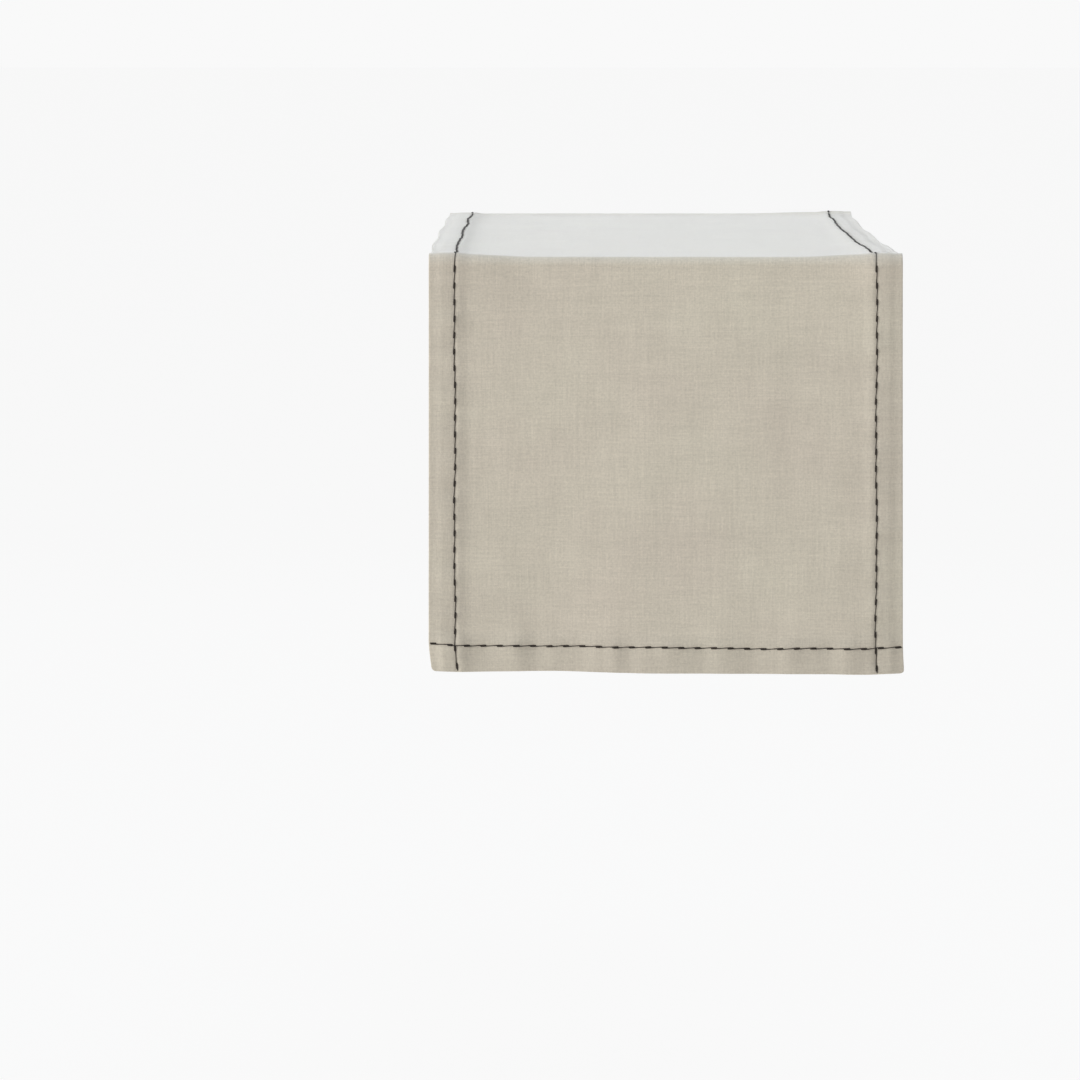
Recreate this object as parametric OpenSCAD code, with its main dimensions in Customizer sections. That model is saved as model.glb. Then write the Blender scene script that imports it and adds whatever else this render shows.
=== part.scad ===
// Linen table runner, laid across a table with an even drop at each side.
//
// Origin: the middle of the underside that lies on the table top.
// +X runs across the runner, +Y along it towards the back of the table, +Z is up.
// Left and right are as seen from the front of the table.

/* [Table] */
// Depth of the table top, from the edge at the front to the edge at the back
table_depth = 800; // [500:10:1200]

/* [Runner] */
// Finished width of the runner
runner_width = 400; // [250:10:600]
// Length that hangs down at each edge of the table
drop_length = 350; // [120:10:600]
// Thickness of one layer of the cloth
cloth_t = 0.5; // [0.3:0.05:0.8]

/* [Hems] */
// Depth of a side hem, from its outer fold to its inner fold
side_hem = 24; // [18:1:40]
// Depth of an end hem, from its outer fold to its inner fold
end_hem = 23; // [18:1:40]
// Width of the raw edge that is turned in under a side hem
turn_in = 12; // [6:1:14]
// Distance over which the single cloth rises on to a hem
hem_rise = 6; // [3:1:10]

/* [Stitching] */
// Distance of a row of stitches from the inner fold of its hem
stitch_inset = 2; // [1.5:0.5:5]
// Distance from one stitch to the next
stitch_pitch = 14; // [10:0.5:20]
// Length over which two stitches lie side by side
stitch_overlap = 5; // [3:0.5:6]
// Diameter of the sewing thread
thread_d = 0.9; // [0.5:0.1:1.2]

/* [Label] */
// Width of the blank label under the back end
label_w = 32; // [20:1:50]
// Height of the label, from the fold of the hem down
label_h = 16; // [10:1:18]
// Thickness of the label, which is folded double
label_t = 0.4; // [0.2:0.1:0.8]

/* [Bends] */
// Gap between the cloth on the table and a drop, so that the drop can turn
bend_gap = 0.3; // [0.2:0.05:0.5]

/* [Hidden] */

FRONT = -1;
BACK = 1;
LEFT = -1;
RIGHT = 1;
CLOTH_COLOUR = [0.76, 0.73, 0.66];
HEM_COLOUR = [0.72, 0.69, 0.63];
THREAD_COLOUR = [0.20, 0.16, 0.12];
LABEL_COLOUR = [0.93, 0.92, 0.89];

// How far a cut runs past the face that it opens
cut_past = 1;

half_w = runner_width / 2;
half_d = table_depth / 2;

// Levels above the underside: one, two and three layers of cloth
one_layer = cloth_t;
two_layers = 2 * cloth_t;
three_layers = 3 * cloth_t;

// Across the runner, from its middle: where a side hem's layers begin and end
hem_fold_x = half_w - side_hem;
turned_edge_x = hem_fold_x + turn_in;
// The cloth drops one layer past the turned edge, over about twice its own thickness
step_x = turned_edge_x + 2 * cloth_t;
stitch_x = hem_fold_x + stitch_inset;

// Down a drop, from the table top: where the end hem begins and its row of stitches runs
end_fold_s = drop_length - end_hem;
end_stitch_s = end_fold_s + stitch_inset;

// Stitches on the side rows are counted from the middle of the table, and go on over the bends
stitches_on_top = floor((half_d - stitch_overlap) / stitch_pitch);
top_stitches = [for (i = [-stitches_on_top : stitches_on_top]) i * stitch_pitch];
stitches_to_end = floor((half_d + drop_length - stitch_overlap) / stitch_pitch);
drop_stitches = [
    for (i = [stitches_on_top + 1 : stitches_to_end])
        if (i * stitch_pitch - half_d > stitch_overlap / 2 + bend_gap) i * stitch_pitch - half_d
];
stitches_on_end = floor((half_w - stitch_overlap) / stitch_pitch);
end_stitches = [for (i = [-stitches_on_end : stitches_on_end]) i * stitch_pitch];

// Sections, with x across the runner and y outwards from the underside

// Everything under the outer face, from one side of the runner to the other
module outer_section() {
    polygon([
        [-half_w, 0], [half_w, 0],
        [half_w, two_layers], [step_x, two_layers],
        [turned_edge_x, three_layers], [hem_fold_x, three_layers],
        [hem_fold_x - hem_rise, one_layer], [-hem_fold_x + hem_rise, one_layer],
        [-hem_fold_x, three_layers], [-turned_edge_x, three_layers],
        [-step_x, two_layers], [-half_w, two_layers]
    ]);
}

// The space under the cloth at the right side, which the side hem fills
module space_under_side() {
    polygon([
        [hem_fold_x - hem_rise, 0], [hem_fold_x, two_layers],
        [turned_edge_x, two_layers], [step_x, one_layer],
        [half_w + cut_past, one_layer], [half_w + cut_past, -cut_past],
        [hem_fold_x - hem_rise, -cut_past]
    ]);
}

// The side hem at the right: the layer underneath, and the raw edge turned in above it
module side_hem_section() {
    polygon([
        [hem_fold_x, 0], [half_w, 0],
        [half_w, one_layer], [turned_edge_x, one_layer],
        [turned_edge_x, two_layers], [hem_fold_x, two_layers]
    ]);
}

// Helpers

// Mirrors the children to the left side if it is asked for; they are drawn at the right
module at_side(side) {
    mirror([side == LEFT ? 1 : 0, 0, 0]) children();
}

// Puts the children at an edge of the table; they are drawn at the back, with y outwards and z up
module at_edge(edge) {
    translate([0, edge * half_d, 0])
        mirror([0, edge == FRONT ? 1 : 0, 0])
            children();
}

// Runs a section along the table, from edge to edge
module along_table() {
    rotate([90, 0, 0])
        linear_extrude(height = table_depth, center = true) children();
}

// Runs a section down a drop, between two distances below the table top
module down_drop(from, to) {
    translate([0, 0, -to])
        linear_extrude(height = to - from) children();
}

// The block under a face that lies at one level, rises at the end hem to another and stays there
// as far as it is asked to. It lies across the runner, and its other side is at the level called base.
module end_block(level, raised, base, to, width) {
    rotate([90, 0, 90])
        linear_extrude(height = width, center = true)
            polygon([
                [level, -end_fold_s + hem_rise], [raised, -end_fold_s], [raised, -to],
                [base, -to], [base, -end_fold_s + hem_rise]
            ]);
}

// One row of stitches on a hem, along x, with z outwards. One thread lies along the face. Where two
// stitches lie side by side it is twice as wide, and it goes through the cloth and back there.
module stitch_row(from, to, middles) {
    color(THREAD_COLOUR) {
        translate([from, -thread_d / 2, three_layers])
            cube([to - from, thread_d, thread_d]);
        for (middle = middles) {
            translate([middle - stitch_overlap / 2, -thread_d, three_layers])
                cube([stitch_overlap, 2 * thread_d, thread_d]);
            difference() {
                translate([middle - stitch_overlap / 2, -thread_d / 2, 0])
                    cube([stitch_overlap, thread_d, three_layers]);
                translate([middle - stitch_overlap / 2 + thread_d, -thread_d, one_layer])
                    cube([stitch_overlap - 2 * thread_d, 2 * thread_d, two_layers + cut_past]);
            }
        }
    }
}

// Sub-parts of the part that lies on the table

module top_cloth() {
    color(CLOTH_COLOUR) along_table() difference() {
        outer_section();
        at_side(LEFT) space_under_side();
        at_side(RIGHT) space_under_side();
    }
}

module top_side_hem(side) {
    color(HEM_COLOUR) along_table() at_side(side) side_hem_section();
}

module top_side_stitching(side) {
    translate([side * stitch_x, 0, 0])
        rotate([0, 0, 90])
            stitch_row(-half_d, half_d, top_stitches);
}

// Sub-parts of a drop

module drop_cloth(edge) {
    color(CLOTH_COLOUR) at_edge(edge) difference() {
        union() {
            down_drop(bend_gap, drop_length) outer_section();
            end_block(one_layer, three_layers, 0, drop_length, runner_width);
        }
        for (side = [LEFT, RIGHT])
            down_drop(0, drop_length + cut_past) at_side(side) space_under_side();
        end_block(0, two_layers, -cut_past, drop_length + cut_past, runner_width + 2 * cut_past);
    }
}

module drop_side_hem(edge, side) {
    color(HEM_COLOUR) at_edge(edge)
        down_drop(bend_gap, end_fold_s) at_side(side) side_hem_section();
}

module drop_end_hem(edge) {
    color(HEM_COLOUR) at_edge(edge)
        translate([-half_w, 0, -drop_length])
            cube([runner_width, two_layers, end_hem]);
}

module drop_side_stitching(edge, side) {
    at_edge(edge)
        translate([side * stitch_x, 0, 0])
            rotate([-90, 90, 0])
                stitch_row(bend_gap, drop_length, drop_stitches);
}

module drop_end_stitching(edge) {
    at_edge(edge)
        translate([0, 0, -end_stitch_s])
            rotate([-90, 0, 0])
                stitch_row(-half_w, half_w, end_stitches);
}

module drop_label(edge) {
    color(LABEL_COLOUR) at_edge(edge)
        translate([-label_w / 2, -label_t, -end_fold_s - label_h])
            cube([label_w, label_t, label_h]);
}

top_cloth();
top_side_hem(LEFT);  // top_left_hem
top_side_hem(RIGHT);  // top_right_hem
top_side_stitching(LEFT);  // top_left_stitching
top_side_stitching(RIGHT);  // top_right_stitching
drop_cloth(FRONT);  // front_cloth
drop_side_hem(FRONT, LEFT);  // front_left_hem
drop_side_hem(FRONT, RIGHT);  // front_right_hem
drop_end_hem(FRONT);  // front_end_hem
drop_side_stitching(FRONT, LEFT);  // front_left_stitching
drop_side_stitching(FRONT, RIGHT);  // front_right_stitching
drop_end_stitching(FRONT);  // front_end_stitching
drop_cloth(BACK);  // back_cloth
drop_side_hem(BACK, LEFT);  // back_left_hem
drop_side_hem(BACK, RIGHT);  // back_right_hem
drop_end_hem(BACK);  // back_end_hem
drop_side_stitching(BACK, LEFT);  // back_left_stitching
drop_side_stitching(BACK, RIGHT);  // back_right_stitching
drop_end_stitching(BACK);  // back_end_stitching
drop_label(BACK);  // back_label
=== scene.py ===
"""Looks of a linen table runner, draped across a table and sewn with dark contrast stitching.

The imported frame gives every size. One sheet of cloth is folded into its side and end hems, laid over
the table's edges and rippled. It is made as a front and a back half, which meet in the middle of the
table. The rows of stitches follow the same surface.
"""

import logging
import math
from dataclasses import dataclass
from enum import Enum

import bpy
import numpy as np
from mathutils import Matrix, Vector


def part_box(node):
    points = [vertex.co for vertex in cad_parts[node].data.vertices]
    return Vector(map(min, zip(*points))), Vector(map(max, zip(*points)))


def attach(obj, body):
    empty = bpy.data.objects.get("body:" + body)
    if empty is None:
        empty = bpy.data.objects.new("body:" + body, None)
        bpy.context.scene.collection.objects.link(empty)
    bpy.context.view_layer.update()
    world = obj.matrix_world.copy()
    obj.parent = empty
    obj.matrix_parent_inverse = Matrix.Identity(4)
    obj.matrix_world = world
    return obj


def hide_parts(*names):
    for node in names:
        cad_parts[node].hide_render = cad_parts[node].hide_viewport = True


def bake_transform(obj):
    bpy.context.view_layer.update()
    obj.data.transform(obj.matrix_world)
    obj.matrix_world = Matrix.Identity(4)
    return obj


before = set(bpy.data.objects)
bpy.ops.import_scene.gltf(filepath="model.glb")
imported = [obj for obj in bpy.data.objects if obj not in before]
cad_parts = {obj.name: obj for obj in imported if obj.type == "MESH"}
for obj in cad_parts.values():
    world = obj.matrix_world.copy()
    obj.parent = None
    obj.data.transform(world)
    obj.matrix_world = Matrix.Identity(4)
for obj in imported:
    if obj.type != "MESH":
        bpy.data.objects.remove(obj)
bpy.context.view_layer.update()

log = logging.getLogger("table_runner")

MM = 0.001
PLACE = "cloth_place"
# Attribute with the share of painted shade on the hems, which stands in for the light that doesn't come
# through their layers
PAINTED_SHADE_MASK = "painted_shade_of_hems"
MAP_NAME = "OFBake"


# --------------------------------------------------------------------------- named options


class End(Enum):
    """The two ends of the runner, with the sign of Y on which each hangs."""

    FRONT = -1
    BACK = 1

    @property
    def label(self) -> str:
        """The word that the end's nodes and pieces start with."""
        return self.name.lower()

    @property
    def body(self) -> str:
        """Name of the hanging body."""
        return f"{self.label}_drop"


class Side(Enum):
    """The two long edges of the runner, as seen from the front, with the sign of X."""

    LEFT = -1
    RIGHT = 1

    @property
    def label(self) -> str:
        """The word for the side in the names of nodes and pieces."""
        return self.name.lower()


# --------------------------------------------------------------------------- sizes


@dataclass(frozen=True)
class RunnerSizes:
    """Sizes of the runner in metres, read off the boxes of the frame's nodes."""

    half_width: float
    half_depth: float
    drop: float
    layer: float
    side_hem: float
    end_hem: float
    side_row: float
    end_row_drop: float
    thread: float
    stitch_pitch: float = 14 * MM
    stitch_overlap: float = 5 * MM
    side_turn: float = 12 * MM
    end_turn: float = 20 * MM
    rise: float = 11 * MM
    bend_radius: float = 7.0 * MM

    @classmethod
    def from_frame(cls) -> "RunnerSizes":
        """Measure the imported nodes.

        Returns:
            The sizes that every class of this script shares.
        """
        top_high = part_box("top_cloth")[1]
        hem_low, hem_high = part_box("top_right_hem")
        end_low, end_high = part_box("front_end_hem")
        row_low, row_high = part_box("top_right_stitching")
        end_row_low, end_row_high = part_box("front_end_stitching")
        return cls(
            half_width=top_high.x,
            half_depth=top_high.y,
            drop=-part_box("front_cloth")[0].z,
            layer=(hem_high.z - hem_low.z) / 2,
            side_hem=hem_high.x - hem_low.x,
            end_hem=end_high.z - end_low.z,
            side_row=(row_low.x + row_high.x) / 2,
            end_row_drop=-(end_row_low.z + end_row_high.z) / 2,
            thread=(row_high.x - row_low.x) / 2,
        )

    @property
    def hem_fold(self) -> float:
        """Distance from the middle line to the inner fold of a side hem."""
        return self.half_width - self.side_hem

    @property
    def turned_edge(self) -> float:
        """Distance from the middle line to the raw edge inside a side hem."""
        return self.hem_fold + self.side_turn

    @property
    def bend_start(self) -> float:
        """Distance along the cloth from the middle of the table to where it starts to bend."""
        return self.half_depth - self.bend_radius

    @property
    def bend_end(self) -> float:
        """Distance along the cloth from the middle of the table to where it hangs straight."""
        return self.bend_start + self.bend_radius * math.pi / 2

    @property
    def half_length(self) -> float:
        """Distance along the cloth from the middle of the table to the bottom edge."""
        return self.bend_end + self.drop - self.bend_radius

    @property
    def end_fold(self) -> float:
        """Distance along the cloth to the inner fold of an end hem."""
        return self.half_length - self.end_hem

    @property
    def end_row(self) -> float:
        """Distance along the cloth to the row of stitches on an end hem."""
        return self.half_length - (self.drop - self.end_row_drop)

    @property
    def flat_half(self) -> tuple[float, float]:
        """Width and length of the flat cut of one half of the cloth, hem allowances included."""
        width = 2 * (self.half_width + self.side_hem + self.side_turn)
        return width, self.half_length + self.end_hem + self.end_turn


# --------------------------------------------------------------------------- curves and waves


Amount = float | np.ndarray


def smooth(value: np.ndarray, start: float, end: float) -> np.ndarray:
    """Rise from 0 at start to 1 at end, level at both."""
    share = np.clip((value - start) / (end - start), 0.0, 1.0)
    return share * share * (3.0 - 2.0 * share)


def hump(value: np.ndarray, middle: float, width: float) -> np.ndarray:
    """Bell curve of height 1 with the given middle and width."""
    return np.exp(-(((value - middle) / width) ** 2))


def graded(start: float, end: float, coarse: float, fine: float, near: list[float]) -> np.ndarray:
    """Places along a line, close together near some points and wide apart elsewhere.

    Args:
        start: First place.
        end: Last place.
        coarse: Widest spacing.
        fine: Closest spacing.
        near: Points around which the places lie close together.

    Returns:
        The places in rising order, with both ends.
    """
    widening = 0.3
    places = [start]
    while places[-1] < end - fine:
        here = places[-1]
        nearest = min(abs(here + fine - point) for point in near)
        places.append(here + min(coarse, fine + widening * nearest))
    places[-1] = end
    return np.array(places)


def by_side(x: np.ndarray, start: float, end: float, left: Amount, right: Amount) -> np.ndarray:
    """Two amounts that come in towards the left and the right edge, with nothing between them."""
    return left * smooth(-x, start, end) + right * smooth(x, start, end)


@dataclass(frozen=True)
class Ripples:
    """A sum of sine waves along one direction, the same on every run.

    Attributes:
        waves: Height and length of each wave in millimetres, and where it starts, in turns.
    """

    waves: tuple[tuple[float, float, float], ...]

    def at(self, place: np.ndarray) -> np.ndarray:
        """Height of the waves.

        Args:
            place: Distances along the waves' direction, in metres.

        Returns:
            The summed height at each place, in metres.
        """
        total = np.zeros_like(place, dtype=float)
        for height, length, start in self.waves:
            total += height * MM * np.sin(2 * math.pi * (place / (length * MM) + start))
        return total


# --------------------------------------------------------------------------- how the cloth lies


@dataclass(frozen=True)
class HandLaid:
    """What differs between the two drops, because the runner was laid by hand.

    Attributes:
        side_puckers: Small waves beside the side rows.
        end_puckers: Small waves below the end row.
        folds: Long shallow folds of the hanging cloth.
        crown: How far the cloth stands off the table's edge in the middle.
        left_crown: How much further it stands off at the left hem.
        right_crown: How much further it stands off at the right hem.
        crown_start: Distance from the middle line at which that begins.
        left_flare: How far the left edge spreads outwards at the bottom.
        right_flare: How far the right edge spreads outwards there.
        left_draw: How far the end hem is drawn in at the left.
        right_draw: How far the end hem is drawn in at the right.
    """

    side_puckers: Ripples
    end_puckers: Ripples
    folds: Ripples
    crown: float
    left_crown: float
    right_crown: float
    crown_start: float
    left_flare: float
    right_flare: float
    left_draw: float
    right_draw: float


DROPS = {
    End.FRONT: HandLaid(
        side_puckers=Ripples(((0.42, 31, 0.37), (0.50, 57, 0.74), (0.20, 17, 1.11))),
        end_puckers=Ripples(((0.40, 58, 0.37), (0.34, 35, 0.74), (0.22, 21, 1.11))),
        folds=Ripples(((1.2, 330, 0.07), (0.8, 170, 0.43), (0.4, 95, 0.71))),
        crown=0.3 * MM,
        left_crown=3.6 * MM,
        right_crown=3.6 * MM,
        crown_start=110 * MM,
        left_flare=0.9 * MM,
        right_flare=3.0 * MM,
        left_draw=3.2 * MM,
        right_draw=-1.2 * MM,
    ),
    End.BACK: HandLaid(
        side_puckers=Ripples(((0.42, 31, 0.81), (0.50, 57, 1.62), (0.20, 17, 2.43))),
        end_puckers=Ripples(((0.40, 58, 0.81), (0.34, 35, 1.62), (0.22, 21, 2.43))),
        folds=Ripples(((1.2, 330, 0.52), (0.8, 170, 0.18), (0.4, 95, 0.33))),
        crown=3.4 * MM,
        left_crown=0.0,
        right_crown=2.4 * MM,
        crown_start=90 * MM,
        left_flare=2.2 * MM,
        right_flare=1.2 * MM,
        left_draw=1.8 * MM,
        right_draw=3.2 * MM,
    ),
}

ROW_WANDER = Ripples(((0.40, 170, 0.31), (0.22, 61, 0.57)))
EDGE_FLUTTER = Ripples(((0.35, 250, 0.18), (0.20, 130, 0.55)))
LEFT_SWAY = Ripples(((0.9, 250, -0.41),))
RIGHT_SWAY = Ripples(((0.7, 260, 0.25),))

# Upright ridges of the front end hem, which the back one has mirrored: place, height and width in mm
HEM_RIDGES = (
    (-174, 1.2, 8), (-131, 2.1, 12), (-95, 1.6, 7), (-42, 1.7, 5), (4, 2.4, 15), (104, 2.1, 11), (157, 1.8, 9)
)

# How much lower the front hangs than on a straight cut: place, then at the end row and at the edge, in mm
UNEVEN_CUT = (
    (-200, -1.3, 2.6), (-178, 0.5, 1.6), (-140, 1.2, 0.9), (-90, 0.8, 1.0), (-20, 2.6, 1.0),
    (80, 3.0, 1.0), (140, 3.2, 1.0), (170, 3.6, 0.7), (186, 2.6, 1.1), (200, 1.6, 1.6),
)


@dataclass(frozen=True)
class Drape:
    """How the sewn runner lies on the table and hangs over one of its edges.

    A point of the runner is given by x across it, s along it from the middle of the table, and n
    outwards from its underside. The methods say how thick the sewn layers are there, and where the
    point is once the runner lies in place.
    """

    sizes: RunnerSizes
    end: End
    corner_press: float = 0.40
    turned_step: float = 7.0 * MM
    thin_edge: float = 0.35
    stiff_bend: float = 1.0 * MM
    stiff_from: float = 130 * MM
    corner_round: float = 3.4 * MM
    row_shift: float = 40 * MM
    pinch_share: float = 0.42
    pinch_width: float = 1.4 * MM
    pucker_inside: float = 8 * MM
    pucker_outside: float = 24 * MM
    pucker_below: float = 30 * MM
    pucker_shift: float = 21 * MM
    pucker_free: float = 90 * MM
    pucker_on_table: float = 0.35
    pull_height: float = 0.08 * MM
    pull_width: float = 4 * MM
    crown_before: float = 16 * MM
    crown_after: float = 45 * MM
    flutter_base: float = 0.5 * MM
    flutter_width: float = 30 * MM
    flutter_shift: float = 60 * MM
    flutter_stop: float = 22 * MM
    sway_from: float = 20 * MM
    sway_stop: float = 45 * MM
    bow: float = 2.7 * MM
    bow_spread: float = 1.3 * MM
    fold_lean: float = 0.1
    fold_past: float = 60 * MM
    flare_power: float = 4
    draw_from: float = 120 * MM
    draw_above: float = 4 * MM
    draw_past: float = 8 * MM
    uneven_from: float = 60 * MM
    back_uneven: float = 0.8

    @property
    def laid(self) -> HandLaid:
        """What is particular to this end."""
        return DROPS[self.end]

    def end_share(self, s: np.ndarray) -> np.ndarray:
        """How far the face has risen on to the end hem at s, from 0 to 1."""
        return smooth(s, self.sizes.end_fold - self.sizes.rise, self.sizes.end_fold)

    def side_share(self, x: np.ndarray) -> np.ndarray:
        """How far the face has risen on to a side hem at x, from 0 to 1."""
        return smooth(np.abs(x), self.sizes.hem_fold - self.sizes.rise, self.sizes.hem_fold)

    def side_base(self, x: np.ndarray) -> np.ndarray:
        """Number of layers under the face layer at x: none in the middle, and two or one on a hem."""
        edge = self.sizes.turned_edge
        return 2 * self.side_share(x) - smooth(np.abs(x), edge, edge + self.turned_step)

    def side_stack(self, x: np.ndarray) -> np.ndarray:
        """Thickness of the layers across the runner, before its end is folded, in metres."""
        return self.sizes.layer * (1 + self.side_base(x))

    def press(self, x: np.ndarray, s: np.ndarray) -> np.ndarray:
        """Share of their thickness that the layers keep; the iron has pressed the corners flat."""
        return 1 - self.corner_press * self.side_share(x) * self.end_share(s)

    def stack(self, x: np.ndarray, s: np.ndarray) -> np.ndarray:
        """Thickness of all the layers at a point of the runner, in metres."""
        return self.side_stack(x) * self.press(x, s) * (1 + 2 * self.end_share(s))

    def painted_shade_share(self, x: np.ndarray, s: np.ndarray) -> np.ndarray:
        """How far a point is on a hem, which is coloured darker as painted shade because no light comes
        through its layers.

        Args:
            x: Distances across the runner.
            s: Distances along the runner.

        Returns:
            Shares from 0 to 1.
        """
        past = self.sizes.turned_edge
        edge = 1 - self.thin_edge * smooth(np.abs(x), past, past + self.turned_step)
        return np.maximum(self.side_share(x) * edge, self.end_share(s))

    def row_wander(self, along: np.ndarray, row: float) -> np.ndarray:
        """How far a row of stitches, told from the others by a number, strays from its straight line."""
        return ROW_WANDER.at(along + self.row_shift * row)

    def pinch(self, x: np.ndarray, s: np.ndarray) -> np.ndarray:
        """How much the stitches draw the layers together.

        Args:
            x: Distances across the runner.
            s: Distances along the runner.

        Returns:
            Shares from 0 to 1.
        """
        sizes = self.sizes
        sign = np.sign(x)
        beside = sign * (x - self.row_wander(s, sign))
        side = hump(beside, sizes.side_row, self.pinch_width)
        across = hump(s - self.row_wander(x, 2), sizes.end_row, self.pinch_width)
        return self.pinch_share * np.maximum(side, across)

    def puckers(self, x: np.ndarray, s: np.ndarray) -> np.ndarray:
        """Small waves that the pull of the thread leaves beside the stitches.

        Args:
            x: Distances across the runner.
            s: Distances along the runner.

        Returns:
            Heights in metres.
        """
        sizes = self.sizes
        past_row = np.abs(x) - sizes.side_row
        side_width = np.where(past_row > 0, self.pucker_outside, self.pucker_inside)
        side_reach = np.exp(-np.abs(past_row) / side_width)
        below_row = s - sizes.end_row
        end_width = np.where(below_row > 0, self.pucker_below, self.pucker_inside)
        end_reach = np.exp(-np.abs(below_row) / end_width)
        waves = self.laid.side_puckers.at(s + self.pucker_shift * np.sign(x)) * side_reach
        waves = waves + (self.laid.end_puckers.at(x) + self.hem_ridges(x)) * end_reach
        pulled = np.cos(2 * math.pi * s / sizes.stitch_pitch) * np.exp(-np.abs(past_row) / self.pull_width)
        return (waves + self.pull_height * pulled) * smooth(s, 0, self.pucker_free)

    def hem_ridges(self, x: np.ndarray) -> np.ndarray:
        """Upright ridges of an end hem, where the row of stitches has gathered it."""
        way = -self.end.value * MM
        return sum(height * MM * hump(x, way * place, width * MM) for place, height, width in HEM_RIDGES)

    def lift(self, x: np.ndarray, s: np.ndarray) -> np.ndarray:
        """How far the cloth stands off the table, most of all where it bends over the edge.

        Args:
            x: Distances across the runner.
            s: Distances along the runner.

        Returns:
            Heights in metres, never below 0.
        """
        sizes, laid = self.sizes, self.laid
        hems = by_side(x, laid.crown_start, sizes.hem_fold, laid.left_crown, laid.right_crown)
        bend = (sizes.bend_start + sizes.bend_end) / 2
        before = np.exp(-np.maximum(bend - s, 0) / self.crown_before)
        after = np.exp(-np.maximum(s - bend, 0) / self.crown_after)
        on_top = 1 - smooth(s, sizes.bend_start - self.flutter_stop, sizes.bend_start)
        beside = np.exp(-np.maximum(sizes.half_width - np.abs(x), 0) / self.flutter_width)
        flutter = EDGE_FLUTTER.at(self.end.value * s + self.flutter_shift * np.sign(x)) + self.flutter_base
        return (laid.crown + hems) * before * after + np.maximum(flutter, 0) * on_top * beside

    def hanging_waves(self, x: np.ndarray, s: np.ndarray) -> np.ndarray:
        """Long shallow folds of the hanging part, which grow towards the bottom.

        Args:
            x: Distances across the runner.
            s: Distances along the runner.

        Returns:
            Heights in metres.
        """
        bottom = self.sizes.half_length
        down = smooth(s, self.sizes.bend_end, bottom + self.fold_past)
        return self.laid.folds.at(x + self.fold_lean * (s - bottom)) * down

    def sideways(self, x: np.ndarray, s: np.ndarray) -> np.ndarray:
        """How far the cloth strays across the table, because it was laid by hand.

        Args:
            x: Distances across the runner.
            s: Distances along the runner.

        Returns:
            Shifts along X in metres.
        """
        sizes = self.sizes
        y = self.end.value * s
        depth = np.clip((y + sizes.half_depth) / (2 * sizes.half_depth), 0, 1)
        bow = -np.sin(math.pi * depth) * (self.bow + self.bow_spread * x / sizes.half_width)
        sway = by_side(x, self.sway_from, sizes.hem_fold, LEFT_SWAY.at(y), RIGHT_SWAY.at(y))
        on_top = 1 - smooth(s, sizes.bend_start - self.sway_stop, sizes.bend_start)
        return (bow + sway) * on_top + self.flare(x, s)

    def flare(self, x: np.ndarray, s: np.ndarray) -> np.ndarray:
        """How far the edges spread outwards towards the bottom, and the end hem is drawn in.

        Args:
            x: Distances across the runner.
            s: Distances along the runner.

        Returns:
            Shifts along X in metres.
        """
        sizes, laid = self.sizes, self.laid
        down = np.clip((s - sizes.bend_end) / sizes.drop, 0, 1)
        outwards = np.where(x < 0, -laid.left_flare, laid.right_flare)
        spread = outwards * (x / sizes.half_width) ** self.flare_power * down
        low = smooth(s, sizes.end_row - self.draw_above, sizes.half_length + self.draw_past)
        return spread + low * by_side(x, self.draw_from, sizes.half_width, laid.left_draw, -laid.right_draw)

    def hang_lower(self, x: np.ndarray, s: np.ndarray) -> np.ndarray:
        """How much lower a point hangs than on a straight cut, because cloth is never quite square.

        Args:
            x: Distances across the runner.
            s: Distances along the runner.

        Returns:
            Distances down in metres.
        """
        sizes = self.sizes
        places, at_row, at_edge = MM * np.array(UNEVEN_CUT).T
        if self.end is End.BACK:
            at_row, at_edge = self.back_uneven * at_row[::-1], self.back_uneven * at_edge[::-1]
        above = np.interp(x, places, at_row) * smooth(s, sizes.bend_end + self.uneven_from, sizes.end_row)
        return above + np.interp(x, places, at_edge) * smooth(s, sizes.end_row, sizes.half_length)

    def round_corner(self, x: np.ndarray, s: np.ndarray) -> tuple[np.ndarray, np.ndarray]:
        """Round off the bottom corners, which are too thick to turn out sharp.

        Args:
            x: Distances across the runner.
            s: Distances along the runner.

        Returns:
            The places across and along, drawn in at the corners.
        """
        reach = self.corner_round
        out = np.clip((np.abs(x) - self.sizes.half_width + reach) / reach, 0, 1)
        low = np.clip((s - self.sizes.half_length + reach) / reach, 0, 1)
        drawn_x = reach * out * (1 - np.sqrt(1 - low**2 / 2))
        drawn_s = reach * low * (1 - np.sqrt(1 - out**2 / 2))
        return x - np.sign(x) * drawn_x, s - drawn_s

    def place(self, x: np.ndarray, s: np.ndarray, n: np.ndarray) -> np.ndarray:
        """Where points of the sewn runner are in the frame.

        Args:
            x: Distances across the runner.
            s: Distances along it from the middle of the table.
            n: Distances outwards from its underside.

        Returns:
            Positions, with a last axis of X, Y and Z.
        """
        sizes = self.sizes
        x, s, n = np.broadcast_arrays(x, s, n)
        middle = self.stack(x, s) / 2
        n = middle + (n - middle) * (1 - self.pinch(x, s))
        hanging = smooth(s, sizes.bend_start, sizes.bend_end)
        puckered = self.pucker_on_table + (1 - self.pucker_on_table) * hanging
        n = n + self.lift(x, s) + self.hanging_waves(x, s) + self.puckers(x, s) * puckered
        across, along = self.round_corner(x, s)
        along = along + self.hang_lower(x, s)
        radius = sizes.bend_radius + self.stiff_bend * smooth(np.abs(x), self.stiff_from, sizes.hem_fold)
        start = sizes.half_depth - radius
        angle = np.clip((along - start) / radius, 0, math.pi / 2)
        level = np.minimum(along, start)
        down = np.maximum(along - start - radius * math.pi / 2, 0)
        y = level + (radius + n) * np.sin(angle)
        z = (radius + n) * np.cos(angle) - radius - down
        return np.stack([across + self.sideways(x, s), self.end.value * y, z], axis=-1)


# --------------------------------------------------------------------------- mesh work


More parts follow.
